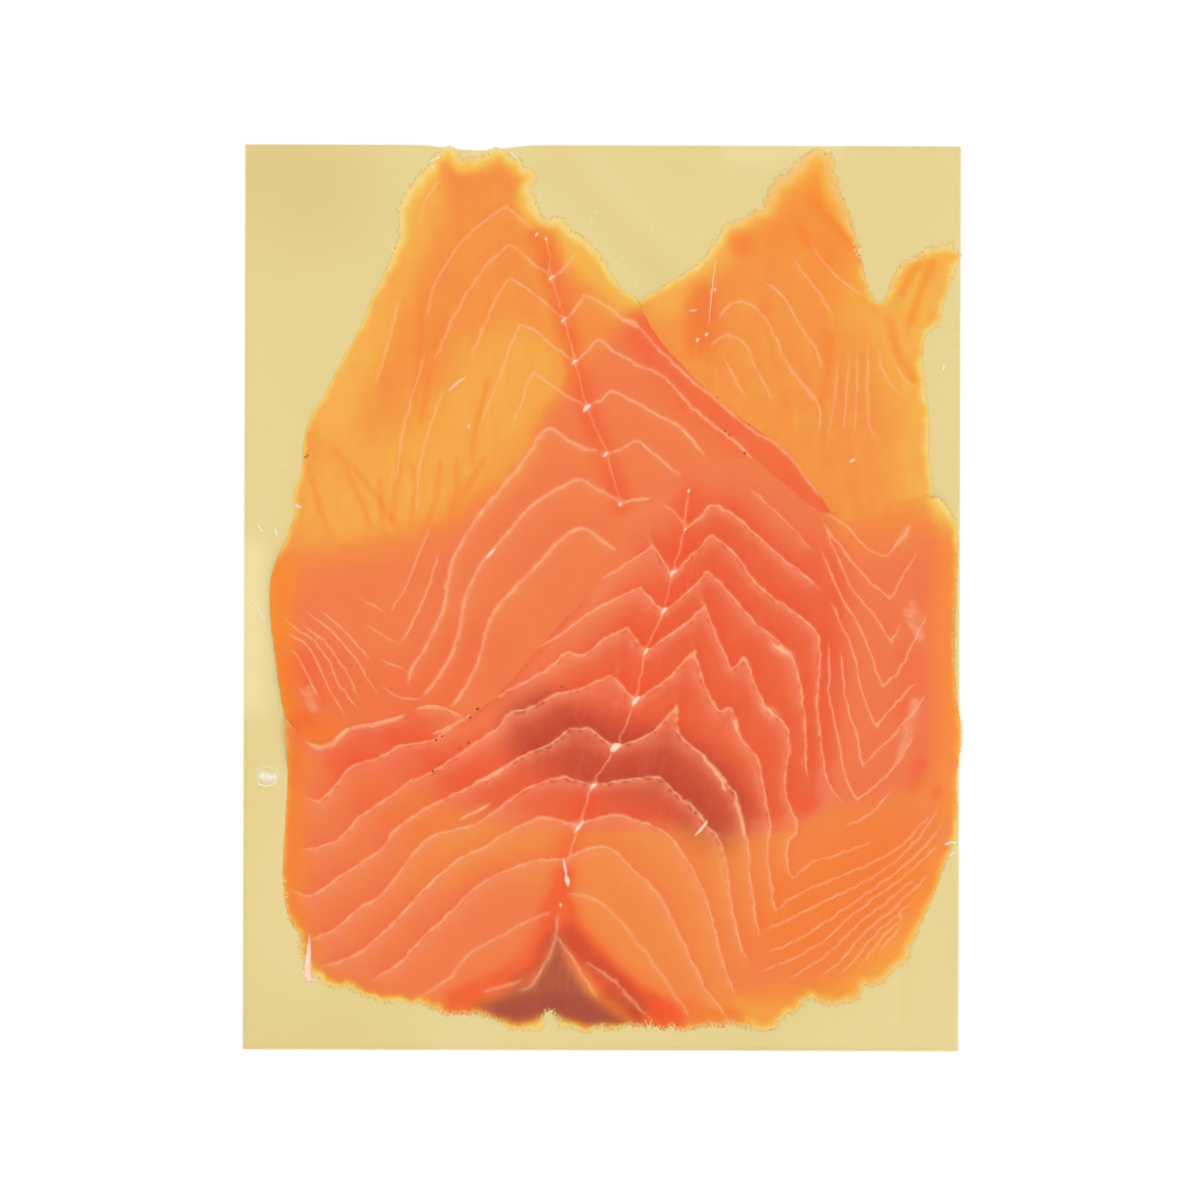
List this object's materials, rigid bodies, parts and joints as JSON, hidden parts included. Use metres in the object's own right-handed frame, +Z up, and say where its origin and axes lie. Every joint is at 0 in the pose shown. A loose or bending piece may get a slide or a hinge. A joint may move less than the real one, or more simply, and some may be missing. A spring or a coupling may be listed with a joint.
{
  "type": "pack of smoked salmon",
  "caption": "Flat pack of thin smoked fish slices laid overlapping on a rectangular gold board under a close clear film.",
  "frame": {"origin": "centre of the bounding box on the board's underside", "axes": "+Z up out of the board, +Y along its long side towards the two pointed ends of the fish, +X across it to the right as seen from above"},
  "size_m": [0.1704, 0.215, 0.0079],
  "materials": {
    "gold_board": "matte metallic gold coat on board",
    "smoked_fish": "moist, slightly see-through cured fish",
    "clear_film": "clear glossy film"
  },
  "bodies": {
    "root": {"gold_board": "gold_board", "slice_right": "smoked_fish", "slice_left": "smoked_fish", "slice_front": "smoked_fish"}
  },
  "joints": []
}
